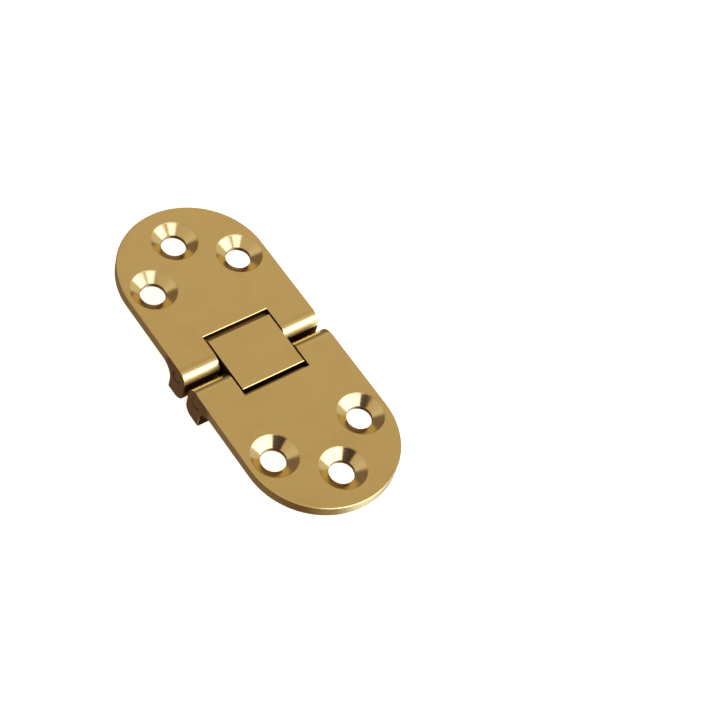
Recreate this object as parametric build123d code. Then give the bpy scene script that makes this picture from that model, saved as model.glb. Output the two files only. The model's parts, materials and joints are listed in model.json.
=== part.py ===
"""Folding flap hinge in solid brass, the kind let into a folding table top or a counter flap.

Two round-ended leaves, each with a pair of knuckles below its inner edge, turn on two pins in one
centre link. Open, the three top faces lie flush and each leaf's lip rests on a shoulder of the link,
which stops it at flat. Each leaf folds up by a quarter turn, until the two top faces are parallel.

Axes: X runs along the open hinge, Y along the pins, Z up. The origin is under the middle of the link,
on the plane of the knuckles' flat bottoms. All sizes are in millimetres.
"""

from build123d import *
import math
import os

# Leaves
open_length = 72.0  # both leaves, end to end
leaf_width = 30.0
leaf_thickness = 2.3
edge_break = 0.15  # small bevel on the top edges

# Knuckles, one extruded section under the inner end of each leaf
knuckle_height = 7.8  # from the flat bottom to the top face
knuckle_gap = 1.3  # between the two leaves' knuckles when open
knuckle_back = 5.0  # from the middle of the hinge to the knuckle's back wall
heel_radius = 2.2  # lower inner edge
root_radius = 3.0  # between the back wall and the leaf's underside

# Pins
pin_diameter = 2.5
pin_depth = 2.65  # below the top face, and as far from the knuckle's inner wall
pin_recess = 0.1  # below the knuckle's end faces
pin_chamfer = 0.15
seat_clearance = 0.01  # round the pin, in the knuckles that hold it
running_clearance = 0.05  # round the pin, in the link that turns on it

# Centre link
plate_length = 12.0
link_width = 13.7
lip_thickness = 1.1  # of the leaf, where it covers the link's shoulder
shoulder_clearance = 0.05  # below the lip

# Slot in each leaf for the link
slot_end_clearance = 1.15  # past the end of the link's plate
slot_side_clearance = 0.25
pocket_clearance = 0.15  # past the sweep of the link's shoulder

# Countersunk screw holes
screw_hole_diameter = 4.9
countersink_diameter = 9.1
countersink_depth = 1.45
side_hole_spacing = 19.1
side_hole_from_end = 15.5
end_hole_from_end = 7.5

# Worked out from the sizes above
half_length = open_length / 2
knuckle_nose = knuckle_gap / 2
underside = knuckle_height - leaf_thickness
nose_radius = pin_depth  # upper inner edge of the knuckle, round the pin
pin_x = knuckle_nose + nose_radius
pin_z = knuckle_height - pin_depth
pin_radius = pin_diameter / 2
pin_length = leaf_width - 2 * pin_recess
shoulder_drop = lip_thickness + shoulder_clearance
shoulder_reach = pin_x + pin_z  # flush with the knuckles' flat bottoms when folded
link_depth = pin_depth + nose_radius  # likewise flush with the knuckles' noses
slot_reach = plate_length / 2 + slot_end_clearance
slot_width = link_width + 2 * slot_side_clearance
shoulder_rise = pin_depth - shoulder_drop  # of the shoulder above the pin's axis
shoulder_sweep = (pin_z**2 + shoulder_rise**2) ** 0.5
pocket_reach = pin_x + shoulder_sweep + pocket_clearance


def corner(section, x, z):
    """The corner of a flat section nearest to x, z."""
    return section.vertices().sort_by_distance((x, z))[0]


def swept_across(section, width):
    """A section drawn in X and Z, extruded to both sides along Y."""
    return extrude(Plane.XZ * section, width / 2, both=True)


def block(x_reach, width, z_low, z_high):
    """A plain block from the middle of the hinge out to x_reach, between two heights."""
    box = Box(x_reach, width, z_high - z_low, align=(Align.MIN, Align.CENTER, Align.MIN))
    return Pos(0, 0, z_low) * box


def leaf_section():
    """Side view of a leaf: the flat plate with its knuckle below the inner end."""
    outline = Polyline(
        (knuckle_nose, knuckle_height),
        (half_length, knuckle_height),
        (half_length, underside),
        (knuckle_back, underside),
        (knuckle_back, 0),
        (knuckle_nose, 0),
        close=True,
    )
    section = make_face(outline)
    section = fillet(corner(section, knuckle_nose, knuckle_height), nose_radius)
    section = fillet(corner(section, knuckle_back, underside), root_radius)
    return fillet(corner(section, knuckle_nose, 0), heel_radius)


def leaf_plan():
    """Top view of a leaf: straight sides and a half-round end, as tall as the knuckles."""
    end_radius = leaf_width / 2
    straight = half_length - end_radius
    sides = Pos(straight / 2, 0) * Rectangle(straight, leaf_width)
    return extrude(sides + Pos(straight, 0) * Circle(end_radius), knuckle_height)


def screw_hole(x, y):
    """Through hole and countersink for one screw, to be cut from the top face."""
    hole_radius, sink_radius = screw_hole_diameter / 2, countersink_diameter / 2
    sink_angle = 2 * math.degrees(math.atan((sink_radius - hole_radius) / countersink_depth))
    hole = CounterSinkHole(hole_radius, sink_radius, knuckle_height, sink_angle)
    return Pos(x, y, knuckle_height) * hole


def link_slot():
    """Open slot for the link's plate, and the deeper pocket that its shoulder swings out of."""
    lip_underside = knuckle_height - lip_thickness
    slot = block(slot_reach, slot_width, 0, knuckle_height)
    pocket = block(pocket_reach, slot_width, 0, lip_underside)
    return slot + pocket


def pin_bore(radius):
    """Cylinder along the pins' axis on the +X side, right across the hinge."""
    return Pos(pin_x, 0, pin_z) * Rot(90, 0, 0) * Cylinder(radius, leaf_width)


def top_edges(part):
    """Edges that bound a leaf's flat top face, apart from the tangent line of the nose."""
    top = part.faces().sort_by(Axis.Z)[-1]
    return [edge for edge in top.edges() if edge.bounding_box().max.X > pin_x + edge_break]


def make_leaf():
    """The +X leaf with its two knuckles, in one piece."""
    leaf = swept_across(leaf_section(), leaf_width) & leaf_plan()
    leaf -= link_slot()
    leaf = chamfer(top_edges(leaf), edge_break)
    side_x, end_x = half_length - side_hole_from_end, half_length - end_hole_from_end
    for x, y in ((side_x, -side_hole_spacing / 2), (side_x, side_hole_spacing / 2), (end_x, 0)):
        leaf -= screw_hole(x, y)
    return leaf - pin_bore(pin_radius + seat_clearance)


def link_section():
    """Side view of the link: a flat plate over a deeper body with a shoulder at each end."""
    plate_end, plate_foot = plate_length / 2, knuckle_height - shoulder_drop
    bottom = knuckle_height - link_depth
    outline = Polyline(
        (-plate_end, knuckle_height),
        (plate_end, knuckle_height),
        (plate_end, plate_foot),
        (shoulder_reach, plate_foot),
        (shoulder_reach, bottom),
        (-shoulder_reach, bottom),
        (-shoulder_reach, plate_foot),
        (-plate_end, plate_foot),
        close=True,
    )
    section = make_face(outline)
    section = fillet(corner(section, shoulder_reach, bottom), heel_radius)
    return fillet(corner(section, -shoulder_reach, bottom), heel_radius)


def make_link():
    """The centre link with its two pin bores."""
    link = swept_across(link_section(), link_width)
    top = link.faces().sort_by(Axis.Z)[-1]
    link = chamfer(top.edges(), edge_break)
    bore = pin_bore(pin_radius + running_clearance)
    return link - bore - bore.rotate(Axis.Z, 180)


def make_pin():
    """The pin on the +X side, with bevelled ends."""
    pin = Cylinder(pin_radius, pin_length)
    pin = chamfer(pin.edges().filter_by(GeomType.CIRCLE), pin_chamfer)
    return Pos(pin_x, 0, pin_z) * Rot(90, 0, 0) * pin


def opposite(part):
    """The same part on the -X side, turned half round the middle of the hinge."""
    return part.rotate(Axis.Z, 180)


def write(name, part):
    """Save one node as a STEP file."""
    part.label = name
    export_step(part, f"parts/{name}.step")


os.makedirs("parts", exist_ok=True)
leaf = make_leaf()
pin = make_pin()
write("leaf_b", leaf)
write("leaf_a", opposite(leaf))
write("pin_b", pin)
write("pin_a", opposite(pin))
write("centre_link", make_link())
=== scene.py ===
import bpy
import json
import math
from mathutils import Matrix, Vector


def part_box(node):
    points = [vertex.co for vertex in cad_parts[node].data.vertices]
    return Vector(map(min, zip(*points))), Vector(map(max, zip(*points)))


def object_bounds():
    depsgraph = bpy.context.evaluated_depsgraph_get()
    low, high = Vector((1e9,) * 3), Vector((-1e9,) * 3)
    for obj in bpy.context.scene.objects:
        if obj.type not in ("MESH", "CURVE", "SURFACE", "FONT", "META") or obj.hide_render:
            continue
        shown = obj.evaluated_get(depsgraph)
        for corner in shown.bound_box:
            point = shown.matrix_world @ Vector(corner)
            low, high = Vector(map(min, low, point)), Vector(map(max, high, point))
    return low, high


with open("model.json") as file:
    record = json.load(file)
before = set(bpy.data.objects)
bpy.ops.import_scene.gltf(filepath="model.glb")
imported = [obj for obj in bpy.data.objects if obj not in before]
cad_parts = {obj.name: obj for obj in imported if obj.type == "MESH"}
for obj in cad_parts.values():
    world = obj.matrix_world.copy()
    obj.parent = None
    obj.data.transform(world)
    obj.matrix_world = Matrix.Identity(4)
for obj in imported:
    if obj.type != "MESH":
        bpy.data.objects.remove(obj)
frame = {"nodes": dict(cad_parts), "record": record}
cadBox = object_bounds()
print("frame loaded:", ", ".join(sorted(frame["nodes"])))

mm = 0.001
reliefHeight = 0.02 * mm     # of every brass surface's relief at full strength

# the hinge's own sizes in millimetres, X and Y from its middle, as the frame gives them
top = cadBox[1].z / mm
halfWidth = cadBox[1].y / mm
linkReach, linkSide = (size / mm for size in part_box("centre_link")[1][:2])
mounts = {mount["name"]: mount for mount in frame["record"]["mounts"]}
sideHole = (mounts["screws_b"]["pos_m"][0] / mm, mounts["screws_b"]["dims"]["spacing_y_mm"] / 2, 0)
endHole = (mounts["end_screw_b"]["pos_m"][0] / mm, 0, 0)
holeRadius = mounts["end_screw_b"]["dims"]["r_mm"]

smooth = {"interpolation_type": "SMOOTHSTEP"}     # a Map Range that eases in and out
mixSockets = {"FLOAT": ("in2", "in3", 0), "RGBA": ("in6", "in7", 2)}     # a Mix node's inputs and output


def fromHex(text):
    # sRGB hex to the linear colour that a socket wants
    parts = [int(text[i:i + 2], 16) / 255 for i in (1, 3, 5)]
    return [part / 12.92 if part <= 0.04045 else ((part + 0.055) / 1.055) ** 2.4 for part in parts] + [1.0]


def addNode(tree, kind, settings=None, **links):
    # one node: settings set its properties, and links fill its sockets, by name or by number as in0, in1
    node = tree.nodes.new(kind)
    for key, value in (settings or {}).items():
        setattr(node, key, value)
    for key, value in links.items():
        byNumber = key[:2] == "in" and key[2:].isdigit()
        socket = node.inputs[int(key[2:]) if byNumber else key.replace("_", " ")]
        if isinstance(value, bpy.types.NodeSocket):
            tree.links.new(value, socket)
        else:
            socket.default_value = value
    return node


def newMaterial(name):
    material = bpy.data.materials.new(name)
    material.use_nodes = True
    material.node_tree.nodes.clear()
    return material, material.node_tree


def span(begin, full, least=0.0, most=1.0):
    # a Map Range's limits: least where the value is at begin, most where it is at full
    return {"in1": begin, "in2": full, "in3": least, "in4": most}


def pointInMm(tree):
    coords = addNode(tree, "ShaderNodeTexCoord").outputs["Object"]
    return addNode(tree, "ShaderNodeVectorMath", {"operation": "SCALE"}, in0=coords, Scale=1 / mm).outputs[0]


def measure(tree, point):
    # how far a point is from the hinge's middle towards a leaf's round end and towards a long side, and how
    # deep it is under the top faces
    x, y, z = addNode(tree, "ShaderNodeSeparateXYZ", None, Vector=point).outputs
    out = addNode(tree, "ShaderNodeMath", {"operation": "ABSOLUTE"}, in0=x).outputs[0]
    aside = addNode(tree, "ShaderNodeMath", {"operation": "ABSOLUTE"}, in0=y).outputs[0]
    depth = addNode(tree, "ShaderNodeMath", {"operation": "SUBTRACT"}, in0=top, in1=z).outputs[0]
    return out, aside, depth


def zone(tree, edges, *masks):
    # a mask that is 1 inside every edge and mask: an edge is a measure, where the zone begins and is full
    for value, begin, full in edges:
        edge = addNode(tree, "ShaderNodeMapRange", smooth, Value=value, **span(begin, full)).outputs[0]
        masks = (*masks, edge)
    inside = masks[0]
    for mask in masks[1:]:
        inside = addNode(tree, "ShaderNodeMath", {"operation": "MULTIPLY"}, in0=inside, in1=mask).outputs[0]
    return inside


def outside(tree, mask):
    return addNode(tree, "ShaderNodeMath", {"operation": "SUBTRACT"}, in0=1.0, in1=mask).outputs[0]


def overlay(tree, kind, value, *coats):
    # lays coats over a value, each a mask and what it lays down: colours for RGBA, numbers for FLOAT
    under, over, result = mixSockets[kind]
    for mask, coat in coats:
        inputs = {"in0": mask, under: value, over: coat}
        value = addNode(tree, "ShaderNodeMix", {"data_type": kind}, **inputs).outputs[result]
    return value


def grain(tree, point, size, detail):
    # noise whose grain measures size (x, y, z) in millimetres
    place = addNode(tree, "ShaderNodeMapping", None, Vector=point, Scale=[1 / s for s in size]).outputs[0]
    return addNode(tree, "ShaderNodeTexNoise", None, Vector=place, Scale=1.0, Detail=detail).outputs["Fac"]


def coverMetal(tree, relief, strength, **sockets):
    # the surface of bare metal, with its relief
    bump = addNode(tree, "ShaderNodeBump", None, Height=relief, Strength=strength, Distance=reliefHeight)
    shader = addNode(tree, "ShaderNodeBsdfPrincipled", None, Metallic=1.0, Normal=bump.outputs[0], **sockets)
    addNode(tree, "ShaderNodeOutputMaterial", None, Surface=shader.outputs[0])


# brass linished on a fine belt, as all the top faces are: pale gold, faint straight lines and soft glints
# four numbers in a row are where in the noise a change begins and is full, and what it goes from and to
linished = {
    "polish": "#EED89E",                          # clean brass
    "tone": "#E2C688",                            # slightly toned by handling
    "mottleSize": (5, 5, 5),
    "toning": (0.4, 0.75, 0.0, 0.35),
    "lineSize": (24, 0.26, 24),                   # mm; real lines are near 0.1 apart, too fine to show
    "lineTone": (0.35, 0.7, 0.0, 0.03),
    "lineRoughness": (0.25, 0.75, 0.26, 0.29),
    "lineHeight": 0.05,                           # share of the full relief
    "gritSize": (0.4, 0.4, 0.4),                  # mm, of the walls that no belt has touched
    "reliefStrength": 0.35,
    "top": (0.15, 0.05),                          # mm under the top face, where it begins and is full
}


def linish(tree, point, p):
    # the colour, roughness and relief of a linished face
    tone = fromHex(p["tone"])
    lines = grain(tree, point, p["lineSize"], detail=4)
    mottle = grain(tree, point, p["mottleSize"], detail=3)
    toned = addNode(tree, "ShaderNodeMapRange", smooth, Value=mottle, **span(*p["toning"])).outputs[0]
    lined = addNode(tree, "ShaderNodeMapRange", smooth, Value=lines, **span(*p["lineTone"])).outputs[0]
    colour = overlay(tree, "RGBA", fromHex(p["polish"]), (toned, tone), (lined, tone))
    rough = addNode(tree, "ShaderNodeMapRange", smooth, Value=lines, **span(*p["lineRoughness"])).outputs[0]
    relief = addNode(tree, "ShaderNodeMath", {"operation": "MULTIPLY"}, in0=lines, in1=p["lineHeight"])
    return colour, rough, relief.outputs[0]


# the rest of a leaf: bright countersinks, noses lightened as a painted highlight, dull milled walls, and
# painted shade over some oxide in the hollows
leafBrass = {
    "colours": {
        "nose": "#F9E7AC",       # buffed a little brighter than the flat faces, and lightened further as a painted highlight
        "turned": "#F2DFAA",     # fresh metal in the countersinks
        "tone": "#E2C688",       # the walls' lighter grains
        "sawn": "#B8955F",       # and their darker ones
        "ends": "#94693A",       # darker still on the knuckles' ends
        "bored": "#9A7A4C",      # thin oxide in the screw holes
        "slot": "#3A2414",       # thick oxide in the slot, darkened further as painted shade
        "gap": "#6B5030",        # painted shade, with some tarnish, between the knuckles
        "rootShade": "#4A3520",       # painted shade, with some oxide, behind them
        "clear": "#FFFFFF",      # tint of the glancing shine elsewhere
    },
    "wallTone": (0.35, 0.65, 0.3, 0.7),
    "roughness": {"nose": 0.22, "noseFoot": 0.50, "cone": 0.14, "wall": 0.29, "shadeAndOxide": 0.55},
    "ringSize": (0.22, 1, 1),    # mm between the turned rings in a countersink; real ones are finer
    "ringGrit": 0.2,             # how much grit lies over the rings
    "layerSize": (6, 6, 0.35),   # mm, of the milling marks that run round the walls
    # each edge in millimetres, where the finish begins and where it is full
    "edges": {
        "side": (halfWidth - 0.13, halfWidth - 0.07),
        "end": (8.4, 6.0),                                   # out from the middle
        "nose": (3.46, 3.34),
        "noseBottom": (5.6, 4.8),                            # under the top face
        "noseFoot": (0.85, 1.25),                            # the belt only grazes the nose below this
        "slotEnd": (linkReach + 0.61, linkReach + 0.49),
        "slotSide": (linkSide + 0.41, linkSide + 0.29),
        "sink": (4.66, 4.54),                                # from a screw hole's middle
        "sinkFloor": (1.51, 1.39),
        "bore": (holeRadius + 0.035, holeRadius + 0.005),
        "gap": (2.06, 1.94),
        "gapTop": (2.0, 2.4),
        "rootStart": (4.84, 4.96),
        "rootEnd": (8.0, 6.0),
        "rootTop": (2.24, 2.36),
    },
}


def makeLeafBrass(p):
    material, tree = newMaterial("linishedBrassLeaf")
    point = pointInMm(tree)
    out, aside, depth = measure(tree, point)
    edges, rough = p["edges"], p["roughness"]
    tint = {name: fromHex(colour) for name, colour in p["colours"].items()}

    # the distance to the nearest screw hole: measured outwards only, the hinge's six are two
    quarter = addNode(tree, "ShaderNodeCombineXYZ", None, X=out, Y=aside).outputs[0]
    toSide = addNode(tree, "ShaderNodeVectorMath", {"operation": "DISTANCE"}, in0=quarter, in1=sideHole)
    toEnd = addNode(tree, "ShaderNodeVectorMath", {"operation": "DISTANCE"}, in0=quarter, in1=endHole)
    toHole = addNode(tree, "ShaderNodeMath", {"operation": "MINIMUM"}, in0=toSide.outputs["Value"],
                     in1=toEnd.outputs["Value"]).outputs[0]

    onTop = zone(tree, [(depth, *linished["top"])])
    onSide = zone(tree, [(aside, *edges["side"])])
    belowTop, offSide = outside(tree, onTop), outside(tree, onSide)
    onEnd = zone(tree, [(out, *edges["end"])], onSide)
    # the noses' brighter brass is partly real buffing and partly a painted highlight
    onNose = zone(tree, [(out, *edges["nose"]), (depth, *edges["noseBottom"])], offSide)
    onNoseFoot = zone(tree, [(depth, *edges["noseFoot"])])
    # the slot, the gap between the knuckles and the root behind them: painted shade over some oxide
    inShadedSlot = zone(tree, [(out, *edges["slotEnd"]), (aside, *edges["slotSide"])], belowTop)
    inSink = zone(tree, [(toHole, *edges["sink"]), (depth, *edges["sinkFloor"])], belowTop)
    inBore = zone(tree, [(toHole, *edges["bore"])])
    inShadedGap = zone(tree, [(out, *edges["gap"]), (depth, *edges["gapTop"])], offSide)
    rootEdges = [(out, *edges["rootStart"]), (out, *edges["rootEnd"]), (depth, *edges["rootTop"])]
    inShadedRoot = zone(tree, rootEdges, offSide)

    faceColour, faceRough, faceRelief = linish(tree, point, linished)
    grit = grain(tree, point, linished["gritSize"], detail=4)
    worn = addNode(tree, "ShaderNodeMapRange", smooth, Value=grit, **span(*p["wallTone"])).outputs[0]
    # the slot, gap and root coats are painted shade over some oxide
    colour = overlay(
        tree, "RGBA", tint["tone"], (worn, tint["sawn"]), (onEnd, tint["ends"]), (onNose, tint["nose"]),
        (onTop, faceColour), (inSink, tint["turned"]), (inBore, tint["bored"]), (inShadedSlot, tint["slot"]),
        (inShadedGap, tint["gap"]), (inShadedRoot, tint["rootShade"]))
    # painted shade on the reflection: the glancing shine is tinted dark between and behind the knuckles
    shine = overlay(tree, "RGBA", tint["clear"], (inShadedGap, tint["rootShade"]), (inShadedRoot, tint["rootShade"]))

    noseRough = overlay(tree, "FLOAT", rough["nose"], (onNoseFoot, rough["noseFoot"]))
    roughness = overlay(
        tree, "FLOAT", rough["wall"], (inSink, rough["cone"]), (onNose, noseRough), (onTop, faceRough),
        (inShadedSlot, rough["shadeAndOxide"]), (inShadedGap, rough["shadeAndOxide"]), (inShadedRoot, rough["shadeAndOxide"]))

    layers = grain(tree, point, p["layerSize"], detail=3)
    milled = addNode(tree, "ShaderNodeMath", {"operation": "ADD"}, in0=grit, in1=layers).outputs[0]
    fromHole = addNode(tree, "ShaderNodeCombineXYZ", None, X=toHole).outputs[0]
    rings = grain(tree, fromHole, p["ringSize"], detail=2)
    turned = addNode(tree, "ShaderNodeMath", {"operation": "MULTIPLY_ADD"}, in0=grit, in1=p["ringGrit"],
                     in2=rings).outputs[0]
    relief = overlay(tree, "FLOAT", milled, (inSink, turned), (onNose, faceRelief), (onTop, faceRelief))
    coverMetal(tree, relief, linished["reliefStrength"], Base_Color=colour, Roughness=roughness,
               Specular_Tint=shine)
    return material


# the rest of the link: dull milled shoulders under the leaves' lips, and painted shade, with some brown
# oxide, round the plate
linkBrass = {
    "shoulder": "#CFAE76",
    "shadeAndOxide": "#3A2414",          # painted shade over some oxide, on the plate's walls, along their foot and under the plate
    "shoulderRoughness": 0.36,
    "oxideRoughness": 0.5,
    # each edge in millimetres, where the finish begins and where it is full
    "wallBottom": (1.13, 1.05),          # under the top face
    "shoulderBottom": (1.27, 1.19),
    "shoulderStart": (5.94, 6.06),       # out from the middle
    "foot": (6.62, 6.38),
}


def makeLinkBrass(p):
    material, tree = newMaterial("linishedBrassLink")
    point = pointInMm(tree)
    out, _, depth = measure(tree, point)
    shoulder, shadeAndOxide = fromHex(p["shoulder"]), fromHex(p["shadeAndOxide"])

    belowTop = outside(tree, zone(tree, [(depth, *linished["top"])]))
    # the plate's walls, their foot and the underside: painted shade over some oxide
    onWall = zone(tree, [(depth, *p["wallBottom"])], belowTop)
    onFoot = zone(tree, [(out, *p["foot"])], belowTop)
    inShadeAndOxide = addNode(tree, "ShaderNodeMath", {"operation": "MAXIMUM"}, in0=onWall, in1=onFoot).outputs[0]
    shoulderEdges = [(depth, *p["shoulderBottom"]), (out, *p["shoulderStart"])]
    onShoulder = zone(tree, shoulderEdges, outside(tree, onWall))
    milled = addNode(tree, "ShaderNodeMath", {"operation": "MAXIMUM"}, in0=onShoulder, in1=onWall).outputs[0]

    faceColour, faceRough, faceRelief = linish(tree, point, linished)
    colour = overlay(tree, "RGBA", faceColour, (onShoulder, shoulder), (inShadeAndOxide, shadeAndOxide))
    roughness = overlay(
        tree, "FLOAT", faceRough, (onShoulder, p["shoulderRoughness"]), (inShadeAndOxide, p["oxideRoughness"]))
    grit = grain(tree, point, linished["gritSize"], detail=4)
    relief = overlay(tree, "FLOAT", faceRelief, (milled, grit))
    coverMetal(tree, relief, linished["reliefStrength"], Base_Color=colour, Roughness=roughness)
    return material


# drawn brass rod, cut off and left: darker than the leaves, with fine marks along it
pinBrass = {
    "rod": "#A8834E",
    "dull": "#7C5830",
    "gritSize": (0.35, 0.35, 0.35),
    "dulling": (0.35, 0.65, 0.1, 0.8),
    "roughness": (0.3, 0.7, 0.27, 0.40),
    "drawnSize": (0.15, 8, 0.15),        # mm, of the marks that the die left
    "reliefStrength": 0.3,
}


def makePinBrass(p):
    material, tree = newMaterial("drawnBrassPin")
    point = pointInMm(tree)
    grit = grain(tree, point, p["gritSize"], detail=4)
    drawn = grain(tree, point, p["drawnSize"], detail=2)
    dulled = addNode(tree, "ShaderNodeMapRange", smooth, Value=grit, **span(*p["dulling"])).outputs[0]
    colour = overlay(tree, "RGBA", fromHex(p["rod"]), (dulled, fromHex(p["dull"])))
    roughness = addNode(tree, "ShaderNodeMapRange", smooth, Value=grit, **span(*p["roughness"])).outputs[0]
    relief = addNode(tree, "ShaderNodeMath", {"operation": "ADD"}, in0=grit, in1=drawn).outputs[0]
    coverMetal(tree, relief, p["reliefStrength"], Base_Color=colour, Roughness=roughness)
    return material


def finish(material, *names):
    for name in names:
        mesh = frame["nodes"][name].data
        mesh.materials.clear()
        mesh.materials.append(material)


finish(makeLeafBrass(leafBrass), "leaf_a", "leaf_b")
finish(makeLinkBrass(linkBrass), "centre_link")
finish(makePinBrass(pinBrass), "pin_a", "pin_b")
print("brass finishes assigned")

# a table-top studio, in metres
studio = {
    "roughness": 0.9,                         # both materials are matt
    "floor": "#F8F8F6",                       # opal acrylic, lit from below: pale, with soft shadows
    "floorGlow": 0.88,
    "floorSize": 6.0,
    "card": "#2E1E12",                        # black paper, which the brass mirrors as a dark stretch
    "cardAt": (0.0815, -0.0686, 0.140),
    "cardSize": (0.108, 0.046),
}

# the softboxes' directions are in degrees, their sizes and distances in metres
softboxes = {
    "keySoftbox": {"turn": 26, "height": 29, "distance": 1.1, "wide": 1.9, "tall": 0.78,
                   "radiance": 1.65, "colour": "#D1DEFF"},
    "frontSoftbox": {"turn": -6, "height": 56, "distance": 1.3, "wide": 0.60, "tall": 0.58,
                     "radiance": 1.35, "colour": "#D1DEFF"},
    "stripSoftbox": {"turn": 22, "height": 23, "distance": 1.0, "wide": 0.8, "tall": 0.30,
                     "radiance": 1.8, "colour": "#FFE9BC"},
}


def addSoftbox(name, p):
    turn, height = math.radians(p["turn"]), math.radians(p["height"])
    toLight = Vector((math.cos(turn) * math.cos(height), math.sin(turn) * math.cos(height), math.sin(height)))
    facing = toLight.to_track_quat("Z", "Y").to_euler()
    bpy.ops.object.light_add(type="AREA", location=toLight * p["distance"], rotation=facing)
    lamp = bpy.context.object
    lamp.name = name
    lamp.data.shape = "RECTANGLE"
    lamp.data.size = p["wide"]
    lamp.data.size_y = p["tall"]
    lamp.data.energy = p["radiance"] * math.pi * p["wide"] * p["tall"]
    lamp.data.color = fromHex(p["colour"])[:3]


def makeMatt(name, **sockets):
    # one even matt surface, for the studio's own things
    material, tree = newMaterial(name)
    shader = addNode(tree, "ShaderNodeBsdfPrincipled", None, Roughness=studio["roughness"], **sockets)
    addNode(tree, "ShaderNodeOutputMaterial", None, Surface=shader.outputs[0])
    return material


def addPlane(name, material, **place):
    bpy.ops.object.select_all(action="DESELECT")
    bpy.ops.mesh.primitive_plane_add(**place)
    plane = bpy.context.object
    plane.name = name
    plane.data.materials.append(material)
    return plane


floorColour = fromHex(studio["floor"])
acrylic = makeMatt("opalAcrylic", Base_Color=floorColour, Emission_Color=floorColour,
                   Emission_Strength=studio["floorGlow"])
floor = addPlane("floorSheet", acrylic, size=studio["floorSize"], location=(0, 0, 0))
floor.visible_glossy = False     # the brass mirrors the room's darker tones instead

paper = makeMatt("blackPaper", Base_Color=fromHex(studio["card"]))
cardAt = Vector(studio["cardAt"])
cardTurn = cardAt.to_track_quat("Z", "Y").to_euler()
card = addPlane("blackCard", paper, size=1.0, location=cardAt, rotation=cardTurn)
card.scale = (*studio["cardSize"], 1)
card.visible_camera = card.visible_diffuse = card.visible_shadow = False     # mirrored, and nothing else

for name, p in softboxes.items():
    addSoftbox(name, p)

# the room round the table, which the brass mirrors: dark where no band reaches
# a band is the way it is measured along, where it begins and is full, and its colour
room = {
    "colours": {
        "dark": "#7A6452",
        "wall": "#D3C6AA",
        "upper": "#C5B292",          # top of the walls
        "ceiling": "#A39273",
        "table": "#B0A694",
        "tableNear": "#8E8273",
        "tableBright": "#D6E8FF",
    },
    "brightGlow": 2.5,               # of the table's bright part
    "ways": {                        # a band is measured by how much a ray looks this way
        "up": (0, 0, 1),
        "lean": (0.6, 0, 1),
        "away": (0.669, 0.743, 0),
        "near": (-0.7, -0.714, 0),
    },
    "bands": {
        "walls": (("lean", -0.05, 0.15, "wall"), ("up", 0.6, 0.8, "upper"), ("up", 0.86, 0.97, "ceiling")),
        "table": (("away", 0.05, 0.30, "table"), ("away", 0.475, 0.525, "tableBright"),
                  ("near", 0.0, 0.45, "tableNear")),
    },
    "tableEdge": (-0.45, -0.25),     # along up, where the table gives way to the walls
}


def makeRoom(p):
    world = bpy.data.worlds.new("studioRoom")
    world.use_nodes = True
    tree = world.node_tree
    tree.nodes.clear()
    look = addNode(tree, "ShaderNodeTexCoord").outputs["Generated"]
    along = {}
    for name, way in p["ways"].items():
        dot = addNode(tree, "ShaderNodeVectorMath", {"operation": "DOT_PRODUCT"}, in0=look, in1=way)
        along[name] = dot.outputs["Value"]
    tint = {name: fromHex(colour) for name, colour in p["colours"].items()}
    tint["tableBright"] = [part * p["brightGlow"] for part in tint["tableBright"]]

    seen = {}
    for part, bands in p["bands"].items():
        coats = [(zone(tree, [(along[way], *reach)]), tint[colour]) for way, *reach, colour in bands]
        seen[part] = overlay(tree, "RGBA", tint["dark"], *coats)
    aboveTable = zone(tree, [(along["up"], *p["tableEdge"])])
    colour = overlay(tree, "RGBA", seen["table"], (aboveTable, seen["walls"]))
    glow = addNode(tree, "ShaderNodeBackground", None, Color=colour)
    addNode(tree, "ShaderNodeOutputWorld", None, Surface=glow.outputs[0])
    return world


bpy.context.scene.world = makeRoom(room)
print("studio set")

view = {
    "at": (0.14096, -0.14353, 0.28724),      # metres
    "turned": (34.874, -11.207, 54.764),     # degrees
    "lens": 93.32,                           # mm
    "sensor": 36,                            # mm, its width
    "nearest": 0.01,                         # metres
}
bpy.ops.object.camera_add(location=view["at"], rotation=[math.radians(angle) for angle in view["turned"]])
camera = bpy.context.object
camera.name = "productCamera"
camera.data.lens = view["lens"]
camera.data.sensor_width = view["sensor"]
camera.data.clip_start = view["nearest"]
bpy.context.scene.camera = camera
bpy.context.scene.view_settings.view_transform = "Standard"
print("camera set")
